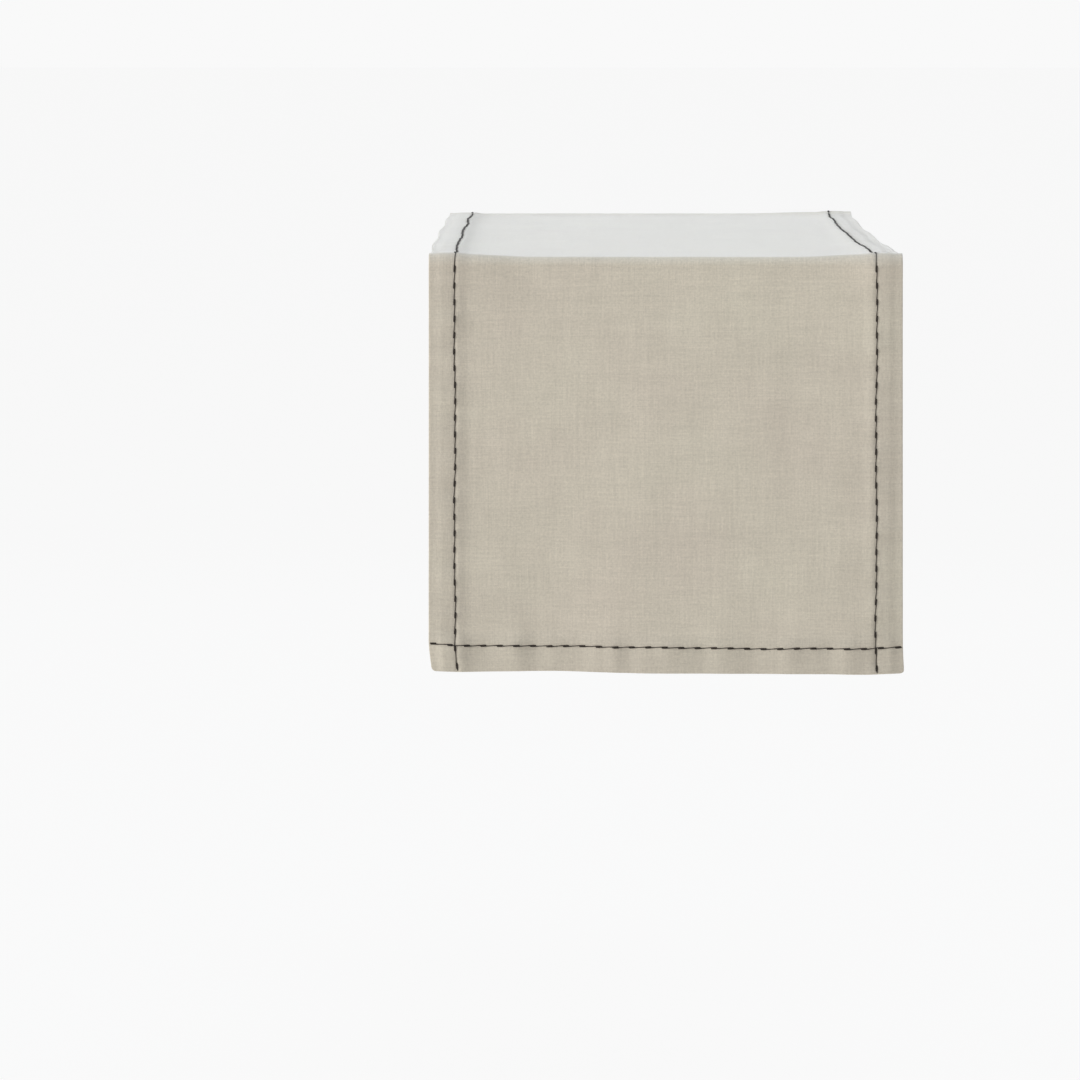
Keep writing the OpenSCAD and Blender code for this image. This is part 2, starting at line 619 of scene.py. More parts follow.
def mesh_object(name: str, points: np.ndarray, faces: np.ndarray) -> bpy.types.Object:
    """Make a smooth-shaded mesh object and link it to the scene.

    Args:
        name: Name of the object and of its mesh.
        points: Positions of the vertices.
        faces: Vertex numbers of each four-cornered face.

    Returns:
        The new object.
    """
    mesh = bpy.data.meshes.new(name)
    mesh.from_pydata(points.tolist(), [], faces.tolist())
    mesh.polygons.foreach_set("use_smooth", np.ones(len(mesh.polygons), dtype=bool))
    mesh.update()
    piece = bpy.data.objects.new(name, mesh)
    bpy.context.scene.collection.objects.link(piece)
    return piece


def closed_sheet(name: str, points: np.ndarray, turned: bool) -> bpy.types.Object:
    """Join the two skins of a thin sheet into one closed mesh.

    Args:
        name: Name of the piece.
        points: Positions by station across, station along, and skin, with the outer skin first.
        turned: True where the stations run clockwise as seen from outside.

    Returns:
        The object, linked to the scene.
    """
    wide, long = points.shape[:2]
    index = np.arange(wide * long * 2).reshape(wide, long, 2)
    outer, inner = index[..., 0], index[..., 1]
    corners = [outer[:-1, :-1], outer[1:, :-1], outer[1:, 1:], outer[:-1, 1:]]
    outer_faces = np.stack(corners, axis=-1).reshape(-1, 4)
    inner_faces = outer_faces[:, ::-1] + 1
    skins = (outer, inner)
    rims = [np.concatenate([skin[:, 0], skin[-1, 1:], skin[-2::-1, -1], skin[0, -2:0:-1]]) for skin in skins]
    rim_faces = np.stack([rims[0], rims[1], np.roll(rims[1], -1), np.roll(rims[0], -1)], axis=-1)
    faces = np.concatenate([outer_faces, inner_faces, rim_faces])
    if turned:
        faces = faces[:, ::-1]
    return mesh_object(name, points.reshape(-1, 3), faces)


def store_places(piece: bpy.types.Object, across: np.ndarray, along: np.ndarray, sign: int) -> None:
    """Store where each point of a sheet lies on its flat cut, for its weave and for its flat map.

    Args:
        piece: A sheet made by closed_sheet.
        across: Place of each station across the cut, in metres.
        along: Place of each station along the cut, in metres.
        sign: 1 or -1, for the way in which the stations along it run.
    """
    cut_x, cut_s, side = np.meshgrid(across, along, [1.0, -1.0], indexing="ij")
    places = np.stack([cut_x, sign * cut_s, side], axis=-1).reshape(-1, 3)
    stored = piece.data.attributes.new(PLACE, "FLOAT_VECTOR", "POINT")
    stored.data.foreach_set("vector", places.astype(np.float32).ravel())
    middle, skin_shift, margin = 0.5, 0.25, 0.1
    flat = np.stack([cut_x + middle - skin_shift * side, cut_s + margin], axis=-1).reshape(-1, 2)
    layer = piece.data.uv_layers.new(name=MAP_NAME)
    corners = np.zeros(len(piece.data.loops), dtype=np.int32)
    piece.data.loops.foreach_get("vertex_index", corners)
    layer.uv.foreach_set("vector", flat[corners].astype(np.float32).ravel())


def even_curve(line: np.ndarray, step: float) -> np.ndarray:
    """Round a line off and space its points evenly.

    Args:
        line: Points of the line, with anything that goes with each point after its position.
        step: Distance between the new points.

    Returns:
        The new points, with what goes with them.
    """
    for _ in range(2):
        cut = np.stack([0.75 * line[:-1] + 0.25 * line[1:], 0.25 * line[:-1] + 0.75 * line[1:]], axis=1)
        line = np.concatenate([line[:1], cut.reshape(-1, line.shape[1]), line[-1:]])
    lengths = np.concatenate([[0.0], np.cumsum(np.linalg.norm(np.diff(line[:, :3], axis=0), axis=1))])
    places = np.linspace(0.0, lengths[-1], int(lengths[-1] / step) + 1)
    return np.stack([np.interp(places, lengths, column) for column in line.T], axis=1)


def bend_with_drop(piece: bpy.types.Object, end: End) -> None:
    """Bake a piece's place in the frame into its mesh.

    Args:
        piece: The cloth or a row of stitches.
        end: The end that the piece belongs to, which is not used.
    """
    end.body
    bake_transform(piece)


# --------------------------------------------------------------------------- the folded cloth


@dataclass(frozen=True)
class Stations:
    """Places along a sheet that runs flat from its middle and is turned under twice at its edge.

    A point at height h above the sheet's underside, where the sheet is t thick, lies at
    place + t * spread + h * lean along it, and at height t * base + h * rise.
    """

    place: np.ndarray
    spread: np.ndarray
    lean: np.ndarray
    base: np.ndarray
    rise: np.ndarray
    cut: np.ndarray

    @classmethod
    def folded(
        cls, face: np.ndarray, base: np.ndarray, fold: float, raw: float, centre: float, thick: float
    ) -> "Stations":
        """Lay out the stations of a face, its outer fold, the layer under it and the edge turned in.

        Args:
            face: Distances of the face's stations, the last of which is the outer fold.
            base: Height under the face's underside at each, in thicknesses.
            fold: Distance of the inner fold.
            raw: Distance of the raw edge, which is turned in at the inner fold.
            centre: Height of the outer fold's centre, in thicknesses.
            thick: Thickness by which the cut's length is reckoned.

        Returns:
            The stations, from the middle to the raw edge.
        """
        edge = face[-1]
        turn = np.linspace(0, math.pi, 8)[1:-1]
        clear = 2 * centre * thick
        flat = face[face < edge - 0.8 * clear]
        past_fold = fold + 1.2 * clear
        under = np.linspace(edge - 1.3 * clear, past_fold, 8)
        inside = np.linspace(past_fold, raw, 5)
        no, one = np.zeros_like, np.ones_like
        place = np.concatenate([flat, edge * one(turn), under, fold * one(turn), inside])
        spread = [no(flat), (centre - 1) * np.sin(turn) - centre, no(under), one(turn), no(inside)]
        lean = [no(flat), np.sin(turn), no(under), -np.sin(turn), no(inside)]
        bases = [base[: len(flat)], centre + (centre - 1) * np.cos(turn), one(under), one(turn), one(inside)]
        rise = [one(flat), np.cos(turn), -one(under), -np.cos(turn), one(inside)]
        spread, lean, bases, rise = (np.concatenate(part) for part in (spread, lean, bases, rise))
        along = place + thick * spread + thick / 2 * lean
        height = thick * bases + thick / 2 * rise
        cut = np.concatenate([[0.0], np.cumsum(np.hypot(np.diff(along), np.diff(height)))])
        return cls(place, spread, lean, bases, rise, cut)

    def both_sides(self) -> "Stations":
        """Mirror the stations to the other side of the middle.

        Returns:
            The stations from one raw edge to the other.
        """
        parts = (self.place, self.spread, self.lean, self.base, self.rise, self.cut)
        signs = (-1, -1, -1, 1, 1, -1)
        return Stations(*(np.concatenate([sign * part[:0:-1], part]) for part, sign in zip(parts, signs)))


@dataclass
class ClothHalf:
    """Half of the runner's cloth, from the middle of the table to one end, hems included."""

    sizes: RunnerSizes
    drape: Drape
    end: End
    wide_step: float = 5.5 * MM
    long_step: float = 2.9 * MM
    fine_step: float = 0.7 * MM
    seam_step: float = 0.05 * MM
    skin_gap: float = 0.06

    @property
    def name(self) -> str:
        """Name of the piece."""
        return f"{self.end.label}_runner_cloth"

    def replaced_nodes(self) -> list[str]:
        """Name the frame's plain solids that this half stands for.

        Returns:
            The names of the nodes.
        """
        parts = ("cloth", "left_hem", "right_hem")
        halves = [f"{start}_{part}" for start in ("top", self.end.label) for part in parts]
        return [*halves, f"{self.end.label}_end_hem"]

    def across(self) -> Stations:
        """Lay out the stations across the runner.

        Returns:
            The stations from one turned-in edge to the other.
        """
        sizes = self.sizes
        near = [sizes.hem_fold, sizes.side_row, sizes.turned_edge, sizes.half_width]
        face = graded(0.0, sizes.half_width, self.wide_step, self.fine_step, near)
        base = self.drape.side_base(face)
        right = Stations.folded(face, base, sizes.hem_fold, sizes.turned_edge, 1.0, sizes.layer)
        return right.both_sides()

    def along(self) -> Stations:
        """Lay out the stations along the runner.

        Returns:
            The stations from the middle of the table to the edge turned in at its end.
        """
        sizes = self.sizes
        near = [sizes.bend_start, sizes.bend_end, sizes.end_fold, sizes.end_row, sizes.half_length]
        face = graded(0.0, sizes.half_length, self.long_step, self.fine_step, near)
        face = np.insert(face, 1, self.seam_step)
        base = 2 * self.drape.end_share(face)
        return Stations.folded(face, base, sizes.end_fold, sizes.end_fold + sizes.end_turn, 1.5, sizes.layer)

    def build(self) -> bpy.types.Object:
        """Make the mesh: an outer and an inner skin, closed all round.

        Returns:
            The cloth, with its place on the flat cut stored at every point.
        """
        across, along = self.across(), self.along()
        layer = self.sizes.layer
        heights = layer * np.array([1 - self.skin_gap, self.skin_gap])
        x = across.place[:, None] + layer * across.spread[:, None] + heights * across.lean[:, None]
        h = layer * across.base[:, None] + heights * across.rise[:, None]
        x, h = x[:, None, :], h[:, None, :]
        end_place, end_spread, end_lean, end_base, end_rise = (
            part[None, :, None] for part in (along.place, along.spread, along.lean, along.base, along.rise)
        )
        pressed = self.drape.press(x, end_place)
        thick, h = self.drape.side_stack(x) * pressed, h * pressed
        s = end_place + thick * end_spread + h * end_lean
        n = thick * end_base + h * end_rise
        points = self.drape.place(x, s, n)
        piece = closed_sheet(self.name, points, self.end is End.FRONT)
        store_places(piece, across.cut, along.cut, self.end.value)
        # Share of painted shade on the hems, stored for the linen's colour
        layers = self.drape.painted_shade_share(x, s)
        stored = piece.data.attributes.new(PAINTED_SHADE_MASK, "FLOAT", "POINT")
        stored.data.foreach_set("value", layers.astype(np.float32).ravel())
        return piece

    def dress(
        self, piece: bpy.types.Object, finish: bpy.types.Material, sewn: list[bpy.types.Object]
    ) -> None:
        """Give the cloth its finish, and hide the frame's solids that it stands for.

        Args:
            piece: The cloth.
            finish: Its material.
            sewn: The pieces that are sewn to it; not used.
        """
        piece.data.materials.append(finish)
        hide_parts(*self.replaced_nodes())
        bend_with_drop(piece, self.end)


# --------------------------------------------------------------------------- stitching


@dataclass
class StitchRow:
    """One row of stem stitches in heavy thread, which overlap side by side.

    The thread runs along the face for a pitch and an overlap, goes down through the cloth, comes back
    under it for the overlap, and comes up beside the end of the last stitch.
    """

    sizes: RunnerSizes
    drape: Drape
    end: End
    ring_step: float = 0.5 * MM
    corners: int = 9
    plies: int = 3
    ply_depth: float = 0.14
    ply_pitch: float = 3.1 * MM
    dip: float = 0.7 * MM
    spread: float = 0.46
    slack: float = 0.27
    face_points: int = 14
    lean_length: float = 0.84
    taut_length: float = 0.70
    above_face: float = 0.30
    below_cloth: float = 0.25

    @property
    def name(self) -> str:
        """Name of the piece."""
        raise NotImplementedError

    def reach(self) -> tuple[float, float]:
        """Where the row starts and ends along its own length."""
        raise NotImplementedError

    def replaced_nodes(self) -> list[str]:
        """The frame's plain solids that the row stands for."""
        raise NotImplementedError

    def spot(self, line: np.ndarray) -> tuple[np.ndarray, np.ndarray]:
        """Where the route's points are across and along the runner."""
        raise NotImplementedError

    def route(self) -> np.ndarray:
        """The middle line of the thread.

        Returns:
            For each point, its distance along the row, its distance to the row's side, its height,
            which is 1 on the face and 0 under the cloth, and how thick the thread is there.
        """
        sizes = self.sizes
        overlap = sizes.stitch_overlap / 2
        lean = self.spread * sizes.thread * self.end.value
        row_start, row_end = self.reach()
        first, last = (round(place / sizes.stitch_pitch) for place in (row_start, row_end))
        line: list[tuple[float, float, float, float]] = []
        for stitch in range(first - 1, last + 1):
            start = max(stitch * sizes.stitch_pitch - overlap, row_start)
            finish = min((stitch + 1) * sizes.stitch_pitch + overlap, row_end)
            if finish - start < 3 * self.dip:
                continue
            middle = (stitch + 0.5) * sizes.stitch_pitch
            line += self.half_hole(start, 1, middle, lean)
            for place in np.linspace(start + 2 * self.dip, finish - 2 * self.dip, self.face_points):
                line.append(self.on_face(place, middle, lean, 1.0))
            line += self.half_hole(finish, -1, middle, lean)[::-1]
            line.append((finish - overlap, 0.0, -0.05, 1.0))
        return np.array(line[:-1])

    def on_face(self, place: float, middle: float, lean: float, height: float) -> tuple[float, ...]:
        """A point of a stitch, which leans from one side of the row to the other.

        Args:
            place: Distance along the row.
            middle: Distance along the row to the middle of the stitch.
            lean: How far the stitch leans to the side.
            height: Height of the point, from 0 under the cloth to 1 on the face.

        Returns:
            The point, as route lists it.
        """
        half = (self.sizes.stitch_pitch + self.sizes.stitch_overlap) / 2
        share = min(max((place - middle) / (self.lean_length * half), -1), 1)
        swell = 1 + self.slack * (2 * min(abs(place - middle) / (self.taut_length * half), 1) ** 2 - 1)
        return place, lean * math.sin(share * math.pi / 2), height, swell

    def half_hole(self, hole: float, way: int, middle: float, lean: float) -> list[tuple[float, ...]]:
        """The points with which a stitch comes up out of its hole."""
        steps = ((0.0, 0.0), (0.2, 0.55), (1.0, 0.97))
        return [self.on_face(hole + way * share * self.dip, middle, lean, height) for share, height in steps]

    def build(self) -> bpy.types.Object:
        """Make the thread as one plied tube that follows its route over the cloth.

        Returns:
            The row of stitches.
        """
        route = self.route()
        x, s = self.spot(route)
        above = self.drape.stack(x, s) + self.above_face * self.sizes.thread
        below = -self.below_cloth * self.sizes.thread
        line = self.drape.place(x, s, below + (above - below) * route[:, 2])
        return self.plied_tube(even_curve(np.column_stack([line, route[:, 3]]), self.ring_step))

    def plied_tube(self, line: np.ndarray) -> bpy.types.Object:
        """Sweep the section of a plied thread along a line.

        Args:
            line: Evenly spaced points down its middle, each with its share of the full thickness.

        Returns:
            The tube.
        """
        line, thickness = line[:, :3], line[:, 3:]
        ahead = np.gradient(line, axis=0)
        ahead /= np.linalg.norm(ahead, axis=1, keepdims=True)
        sides = np.zeros_like(line)
        side = np.cross(ahead[0], (0.3, 0.5, 0.8))
        for place, direction in enumerate(ahead):
            side = side - direction * (side @ direction)
            side /= np.linalg.norm(side)
            sides[place] = side
        ups = np.cross(ahead, sides)
        angles = np.linspace(0.0, 2 * math.pi, self.corners, endpoint=False)[None, :]
        twist = 2 * math.pi * np.arange(len(line))[:, None] * self.ring_step / self.ply_pitch
        bulge = np.abs(np.cos(0.5 * self.plies * (angles - twist)))
        radius = self.sizes.thread / 2 * thickness * (1 - self.ply_depth + 2 * self.ply_depth * bulge)
        ring = sides[:, None] * np.cos(angles)[..., None] + ups[:, None] * np.sin(angles)[..., None]
        points = line[:, None] + radius[..., None] * ring
        index = np.arange(points.shape[0] * self.corners).reshape(-1, self.corners)
        around = np.roll(index, -1, axis=1)
        faces = np.stack([index[:-1], around[:-1], around[1:], index[1:]], axis=-1).reshape(-1, 4)
        return mesh_object(self.name, points.reshape(-1, 3), faces)

    def attach(self, piece: bpy.types.Object) -> None:
        """Parent the row to the body of its drop."""
        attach(piece, self.end.body)

    def dress(self, piece: bpy.types.Object, finish: bpy.types.Material) -> None:
        """Give the thread its finish, hide the frame's solids that it stands for, and attach it.

        Args:
            piece: The row of stitches.
            finish: Its material.
        """
        piece.data.materials.append(finish)
        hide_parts(*self.replaced_nodes())
        self.attach(piece)


@dataclass
class SideRow(StitchRow):
    """A row inside a long edge, from the middle of the table to the bottom of a drop."""

    side: Side = Side.LEFT

    @property
    def name(self) -> str:
        """Name of the piece."""
        return f"{self.end.label}_{self.side.label}_thread"

    def reach(self) -> tuple[float, float]:
        """Where the row starts, past the middle of the table, and ends at the bottom edge."""
        return -self.sizes.stitch_overlap / 2, self.sizes.half_length - self.sizes.thread

    def replaced_nodes(self) -> list[str]:
        """The frame's plain solids that the row stands for."""
        return [f"{start}_{self.side.label}_stitching" for start in ("top", self.end.label)]

    def spot(self, line: np.ndarray) -> tuple[np.ndarray, np.ndarray]:
        """Lay the route along the side hem."""
        s, sign = line[:, 0], self.side.value
        return sign * self.sizes.side_row + line[:, 1] + self.drape.row_wander(s, sign), s

    def attach(self, piece: bpy.types.Object) -> None:
        """Bake the row's place in the frame into its mesh."""
        bend_with_drop(piece, self.end)


@dataclass
class EndRow(StitchRow):
    """A row across an end, from one side edge to the other."""

    @property
    def name(self) -> str:
        """Name of the piece."""
        return f"{self.end.label}_end_thread"

    def reach(self) -> tuple[float, float]:
        """Where the row starts and ends, at the runner's side edges."""
        end = self.sizes.half_width - self.sizes.thread
        return -end, end

    def replaced_nodes(self) -> list[str]:
        """The frame's plain solid that the row stands for."""
        return [f"{self.end.label}_end_stitching"]

    def spot(self, line: np.ndarray) -> tuple[np.ndarray, np.ndarray]:
        """Lay the route along the end hem."""
        x = line[:, 0]
        return x, self.sizes.end_row + line[:, 1] + self.drape.row_wander(x, 2)


# --------------------------------------------------------------------------- the care label


@dataclass
class CareLabel:
    """A blank tape, folded double, whose ends are sewn in under the back end hem."""

    tape: float = 0.13 * MM
    clear: float = 0.05 * MM
    curl: float = 1.3 * MM
    wave: float = 0.3 * MM
    node: str = "back_label"

    def build(self) -> bpy.types.Object:
        """Make the folded tape, which curls a little away from the cloth.

        Returns:
            The label.
        """
        low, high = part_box(self.node)
        width, height = high.x - low.x, high.z - low.z
        loop = (high.y - low.y) / 2 - self.tape / 2
        turn = np.linspace(0, math.pi, 9)[1:-1]
        straight = np.linspace(0, height - loop, 18)
        back, front = np.zeros_like(straight), np.full_like(straight, 2 * loop)
        inward = np.concatenate([back, loop - loop * np.cos(turn), front])
        down = np.concatenate([straight, height - loop + loop * np.sin(turn), straight[::-1]])
        step_in, step_down = np.gradient(inward), np.gradient(down)
        length = np.hypot(step_in, step_down)
        across = np.linspace(-width / 2, width / 2, 25)
        points = np.zeros((len(across), len(down), 2, 3))
        share = down / height
        curl = self.curl * share**2 * (0.7 + 0.3 * np.cos(3 * across[:, None] / width))
        wave = self.wave * share * np.sin(5 * across[:, None] / width + 0.6)
        for skin, sign in enumerate((1, -1)):
            offset = sign * self.tape / 2
            points[:, :, skin, 0] = across[:, None]
            y = high.y - self.clear - self.tape / 2 - inward - offset * -step_down / length
            points[:, :, skin, 1] = y - curl - wave
            points[:, :, skin, 2] = high.z - down + offset * step_in / length
        piece = closed_sheet("care_label_tape", points, False)
        cut = np.concatenate([[0.0], np.cumsum(np.hypot(np.diff(inward), np.diff(down)))])
        store_places(piece, across, cut, 1)
        return piece

    def dress(self, piece: bpy.types.Object, finish: bpy.types.Material) -> None:
        """Give the label its finish, hide the frame's solid that it stands for, and parent it to the back
        drop's body.

        Args:
            piece: The label.
            finish: Its material.
        """
        piece.data.materials.append(finish)
        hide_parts(self.node)
        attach(piece, End.BACK.body)


# --------------------------------------------------------------------------- node groups


Feed = bpy.types.NodeSocket | float | tuple[float, ...]


class Wiring:
    """Adds nodes to one node tree and joins them, so that a finish reads as a few short steps."""

    def __init__(self, tree: bpy.types.NodeTree) -> None:
        """Keep the tree that the nodes go into."""
        self.tree = tree

    def node(self, kind: str, **settings: object) -> bpy.types.Node:
        """Add a node.

        Args:
            kind: Type of the node.
            settings: Properties to set on it.

        Returns:
            The new node.
        """
        made = self.tree.nodes.new(kind)
        for name, value in settings.items():
            setattr(made, name, value)
        return made

    def feed(self, socket: bpy.types.NodeSocket, value: Feed) -> None:
        """Join a socket to another, or set its value.

        Args:
            socket: The input.
            value: An output, or a constant.
        """
        if isinstance(value, bpy.types.NodeSocket):
            self.tree.links.new(value, socket)
        else:
            socket.default_value = value

    def feed_all(self, node: bpy.types.Node, sockets: list[int], values: tuple[Feed, ...]) -> None:
        """Feed several inputs of a node, given by number."""
        for socket, value in zip(sockets, values):
            self.feed(node.inputs[socket], value)

    def math(self, operation: str, *values: Feed) -> bpy.types.NodeSocket:
        """Work out a number from others.

        Args:
            operation: Blender's name of the operation.
            values: The numbers.

        Returns:
            The result.
        """
        made = self.node("ShaderNodeMath", operation=operation)
        self.feed_all(made, [0, 1, 2], values)
        return made.outputs[0]

    def times(self, first: Feed, second: Feed) -> bpy.types.NodeSocket:
        """Multiply two numbers."""
        return self.math("MULTIPLY", first, second)

    def over(self, first: Feed, second: Feed) -> bpy.types.NodeSocket:
        """Divide a number by another."""
        return self.math("DIVIDE", first, second)

    def blend(self, share: Feed, first: Feed, second: Feed) -> bpy.types.NodeSocket:
        """Blend two numbers.

        Args:
            share: How much of the second to take.
            first: The first number.
            second: The second number.

        Returns:
            The blend.
        """
        made = self.node("ShaderNodeMix", data_type="FLOAT")
        self.feed_all(made, [0, 2, 3], (share, first, second))
        return made.outputs[0]

    def colour(self, share: Feed, first: Feed, second: Feed, way: str = "MIX") -> bpy.types.NodeSocket:
        """Blend two colours.

        Args:
            share: How much of the second to take.
            first: The first colour.
            second: The second colour.
            way: Blender's name of the kind of blend.

        Returns:
            The blend.
        """
        made = self.node("ShaderNodeMix", data_type="RGBA", blend_type=way)
        self.feed_all(made, [0, 6, 7], (share, first, second))
        return made.outputs[2]

    def point(self, x: Feed, y: Feed, z: Feed) -> bpy.types.NodeSocket:
        """Put three numbers together into a point.

        Args:
            x: The first number.
            y: The second number.
            z: The third number.

        Returns:
            The point.
        """
        made = self.node("ShaderNodeCombineXYZ")
        self.feed_all(made, [0, 1, 2], (x, y, z))
        return made.outputs[0]

    def split(self, point: Feed) -> tuple[bpy.types.NodeSocket, ...]:
        """Take a point apart.

        Args:
            point: The point.

        Returns:
            Its three numbers.
        """
        made = self.node("ShaderNodeSeparateXYZ")
        self.feed(made.inputs[0], point)
        return tuple(made.outputs)

    def noise(self, point: Feed, scale: float = 1.0, detail: float = 2.0) -> bpy.types.NodeSocket:
        """Smooth noise around 0.5 at a point.

        Args:
            point: Where to read the noise.
            scale: How many times finer than 1 m the noise is.
            detail: How many finer layers it has.

        Returns:
            The noise.
        """
        made = self.node("ShaderNodeTexNoise", noise_dimensions="3D")
        self.feed(made.inputs["Vector"], point)
        made.inputs["Scale"].default_value = scale
        made.inputs["Detail"].default_value = detail
        made.inputs["Roughness"].default_value = 0.55
        return made.outputs[0]

    def group(self, group: bpy.types.NodeTree, **values: Feed) -> bpy.types.Node:
        """Place a node group and feed its inputs.

        Args:
            group: The group.
            values: Its inputs, named in small letters.

        Returns:
            The node.
        """
        made = self.node("ShaderNodeGroup", node_tree=group)
        for name, value in values.items():
            self.feed(made.inputs[name.capitalize()], value)
        return made

    def bump(self, shader: bpy.types.Node, height: Feed, distance: float, strength: float = 1.0) -> None:
        """Give a shader's surface a fine relief.

        Args:
            shader: The shader.
            height: Height of the relief.
            distance: Depth of the relief for a height of 1, in metres.
            strength: Strength of the relief.
        """
        made = self.node("ShaderNodeBump")
        made.inputs["Distance"].default_value = distance
        made.inputs["Strength"].default_value = strength
        self.feed(made.inputs["Height"], height)
        self.feed(shader.inputs["Normal"], made.outputs[0])


class SharedEffects:
    """The node groups that the finishes share, each built once."""

    def __init__(self) -> None:
        """Build every group."""
        self.plain_weave = self.build_plain_weave()
        self.slub_streaks = self.build_slub_streaks()
        self.soft_mottle = self.build_soft_mottle()

    @staticmethod
    def start(
        name: str, values: list[str], results: list[str]
    ) -> tuple[Wiring, dict[str, Feed], bpy.types.Node]:
        """Begin a group that takes a place and some numbers, and puts out numbers.

        Args:
            name: Name of the group.
            values: Names of the numbers that it takes, next to the place.
            results: Names of its outputs.

        Returns:
            The wiring of the group, its inputs by name, and the node that holds its outputs.
        """
        tree = bpy.data.node_groups.new(name, "ShaderNodeTree")
        tree.interface.new_socket(name="Place", in_out="INPUT", socket_type="NodeSocketVector")
        for label in values:
            tree.interface.new_socket(name=label, in_out="INPUT", socket_type="NodeSocketFloat")
        for label in results:
            tree.interface.new_socket(name=label, in_out="OUTPUT", socket_type="NodeSocketFloat")
        wiring = Wiring(tree)
        given = wiring.node("NodeGroupInput").outputs
        return wiring, {label: given[label] for label in ["Place", *values]}, wiring.node("NodeGroupOutput")

    def build_plain_weave(self) -> bpy.types.NodeTree:
        """Threads that pass over and under each other, each a little uneven.

        Returns:
            The group, which puts out the height of the weave and the tone of its threads.
        """
        w, given, result = self.start("plain_weave", ["Pitch", "Uneven"], ["Height", "Tone"])
        x, y, side = w.split(given["Place"])
        wide, long = 420.0, 90.0
        stray_x = w.noise(w.point(w.times(x, wide), w.times(y, long), side))
        stray_y = w.noise(w.point(w.times(x, long), w.times(y, wide), side))
        u = w.math("ADD", w.over(x, given["Pitch"]), w.times(stray_x, given["Uneven"]))
        v = w.math("ADD", w.over(y, given["Pitch"]), w.times(stray_y, given["Uneven"]))
        wave_u = w.math("SINE", w.times(u, math.pi))
        wave_v = w.math("SINE", w.times(v, math.pi))
        warp_up = w.math("GREATER_THAN", w.times(wave_u, wave_v), 0.0)
        over_u, over_v = w.math("ABSOLUTE", wave_u), w.math("ABSOLUTE", wave_v)
        flat_top = 0.45
        warp = w.times(over_u, w.math("POWER", over_v, flat_top))
        weft = w.times(over_v, w.math("POWER", over_u, flat_top))
        height = w.blend(warp_up, weft, warp)
        apart, along = 5.17, 38.0
        warp_place = w.point(w.times(w.math("FLOOR", u), apart), w.times(y, along), side)
        weft_place = w.point(w.times(x, along), w.times(w.math("FLOOR", v), apart), side)
        tone = w.blend(warp_up, w.noise(weft_place), w.noise(warp_place))
        tone_relief, weave_relief = 0.5, 0.75
        relief = w.math("MULTIPLY_ADD", tone, tone_relief, w.times(height, weave_relief))
        w.feed(result.inputs["Height"], relief)
        w.feed(result.inputs["Tone"], tone)
        return w.tree

    def build_slub_streaks(self) -> bpy.types.NodeTree:
        """Long soft streaks where threads run thicker or thinner, both ways of the cloth.

        Returns:
            The group, which puts out a tone.
        """
        w, given, result = self.start("slub_streaks", ["Width", "Length"], ["Tone"])
        x, y, side = w.split(given["Place"])
        width, length = given["Width"], given["Length"]
        down = w.noise(w.point(w.over(x, width), w.over(y, length), side), detail=3.0)
        over = w.noise(w.point(w.over(x, length), w.over(y, width), side), detail=3.0)
        crosswise = 0.46
        w.feed(result.inputs["Tone"], w.blend(crosswise, down, over))
        return w.tree

    def build_soft_mottle(self) -> bpy.types.NodeTree:
        """Wide soft patches.

        Returns:
            The group, which puts out a tone from 0 to 1.
        """
        w, given, result = self.start("soft_mottle", ["Patch", "Contrast"], ["Tone"])
        x, y, side = w.split(given["Place"])
        patch = given["Patch"]
        value = w.noise(w.point(w.over(x, patch), w.over(y, patch), side))
        centred = w.times(w.math("SUBTRACT", value, 0.5), given["Contrast"])
        limited = w.node("ShaderNodeMath", operation="ADD", use_clamp=True)
        w.feed_all(limited, [0, 1], (centred, 0.5))
        w.feed(result.inputs["Tone"], limited.outputs[0])
        return w.tree


# --------------------------------------------------------------------------- finishes


def shade(red: int, green: int, blue: int) -> tuple[float, ...]:
    """Turn a display colour, from 0 to 255, into linear values with full opacity."""
    parts = [value / 255 for value in (red, green, blue)]
    return (*(part / 12.92 if part <= 0.04045 else ((part + 0.055) / 1.055) ** 2.4 for part in parts), 1.0)


def new_finish(name: str) -> tuple[bpy.types.Material, Wiring, bpy.types.Node]:
    """Start a material with one Principled shader.

    Args:
        name: Name of the finish.

    Returns:
        The material, its wiring and the shader.
    """
    material = bpy.data.materials.new(name)
    material.use_nodes = True
    return material, Wiring(material.node_tree), material.node_tree.nodes["Principled BSDF"]


